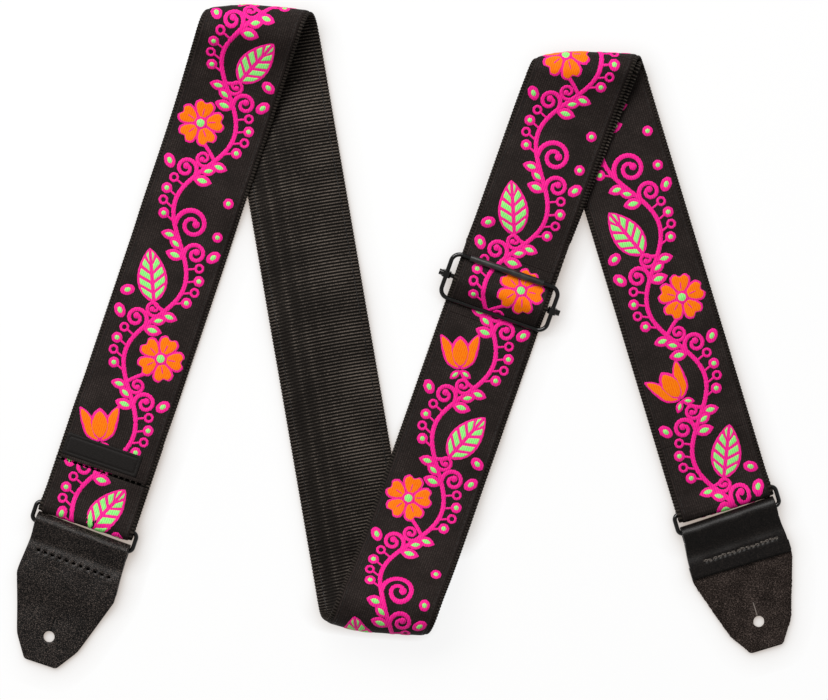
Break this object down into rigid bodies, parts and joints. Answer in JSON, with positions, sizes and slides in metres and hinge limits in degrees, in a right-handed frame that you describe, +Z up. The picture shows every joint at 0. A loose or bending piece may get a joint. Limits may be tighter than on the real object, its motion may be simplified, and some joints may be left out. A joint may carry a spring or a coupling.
{
  "type": "guitar strap",
  "caption": "Woven strap laid out in a zigzag, with a sliding bar adjuster, a wire ring at each end and leather end tabs with button holes.",
  "frame": {"origin": "middle of the bounding box's underside, on the surface that the strap lies on", "axes": "+X to the right across the zigzag, +Y from the tabs towards the upper folds, +Z up off the surface"},
  "size_m": [0.3933, 0.3353, 0.0314],
  "materials": {
    "webbing": "ribbed black webbing",
    "ribbon": "black jacquard with pink, orange and green figures",
    "label": "plain black woven patch",
    "metal": "satin black",
    "leather": "black leather"
  },
  "bodies": {
    "strap": {"webbing_leg_1": "webbing", "ribbon_leg_1": "ribbon", "label": "label", "webbing_leg_2": "webbing", "ribbon_leg_2": "ribbon", "webbing_leg_3_low": "webbing", "ribbon_leg_3_low": "ribbon", "webbing_leg_3_high": "webbing", "ribbon_leg_3_high": "ribbon", "webbing_leg_4_low": "webbing", "ribbon_leg_4_low": "ribbon", "webbing_leg_4_high": "webbing", "ribbon_leg_4_high": "ribbon", "webbing_return": "webbing", "ribbon_return": "ribbon"},
    "adjuster": {"webbing_bar_loop": "webbing", "ribbon_bar_loop": "ribbon", "webbing_weave": "webbing", "ribbon_weave": "ribbon"},
    "movable_bar": {"slider_bar": "metal"},
    "frame": {"slider_frame": "metal", "slider_sleeve": "metal"},
    "right_end": {"webbing_turn": "webbing", "ribbon_turn": "ribbon"},
    "left_ring": {"ring_left": "metal"},
    "left_tab": {"tab_left": "leather"},
    "right_ring": {"ring_right": "metal"},
    "right_tab": {"tab_right": "leather"}
  },
  "joints": [
    {"name": "adjust", "type": "slide", "parent": "strap", "child": "adjuster", "axis": [0.3322, 0.9432, 0], "range_m": [-0.06, 0.03], "deforming": ["webbing_leg_3_low", "ribbon_leg_3_low", "webbing_leg_3_high", "ribbon_leg_3_high", "webbing_return", "ribbon_return"]},
    {"name": "bar_turn", "type": "hinge", "parent": "adjuster", "child": "movable_bar", "pos_m": [0.04819, 0.02267, 0.0033], "axis": [-0.9432, 0.3322, 0], "range_deg": [-8, 8], "deforming": ["webbing_weave", "ribbon_weave"]},
    {"name": "frame_slide", "type": "slide", "parent": "movable_bar", "child": "frame", "axis": [0.3239, 0.9198, 0.2213], "range_m": [-0.004, 0.004], "deforming": ["webbing_weave", "ribbon_weave"]},
    {"name": "right_travel", "type": "slide", "parent": "strap", "child": "right_end", "axis": [0.289, -0.9573, 0], "range_m": [-0.03, 0.015], "deforming": ["webbing_leg_4_low", "ribbon_leg_4_low", "webbing_leg_4_high", "ribbon_leg_4_high"]},
    {"name": "left_ring_turn", "type": "hinge", "parent": "strap", "child": "left_ring", "pos_m": [-0.1607, -0.0909, 0.0036], "axis": [-0.9478, 0.319, 0], "range_deg": [-90, 90]},
    {"name": "left_tab_turn", "type": "hinge", "parent": "left_ring", "child": "left_tab", "pos_m": [-0.16389, -0.10038, 0.0036], "axis": [-0.9478, 0.319, 0], "range_deg": [-90, 90]},
    {"name": "right_ring_turn", "type": "hinge", "parent": "right_end", "child": "right_ring", "pos_m": [0.1614, -0.08261, 0.0036], "axis": [0.9573, 0.289, 0], "range_deg": [-90, 90]},
    {"name": "right_tab_turn", "type": "hinge", "parent": "right_ring", "child": "right_tab", "pos_m": [0.16429, -0.09218, 0.0036], "axis": [0.9573, 0.289, 0], "range_deg": [-90, 90]}
  ],
  "couplings": [
    {"joint": "right_travel", "follows": "adjust", "ratio": 0.5}
  ]
}
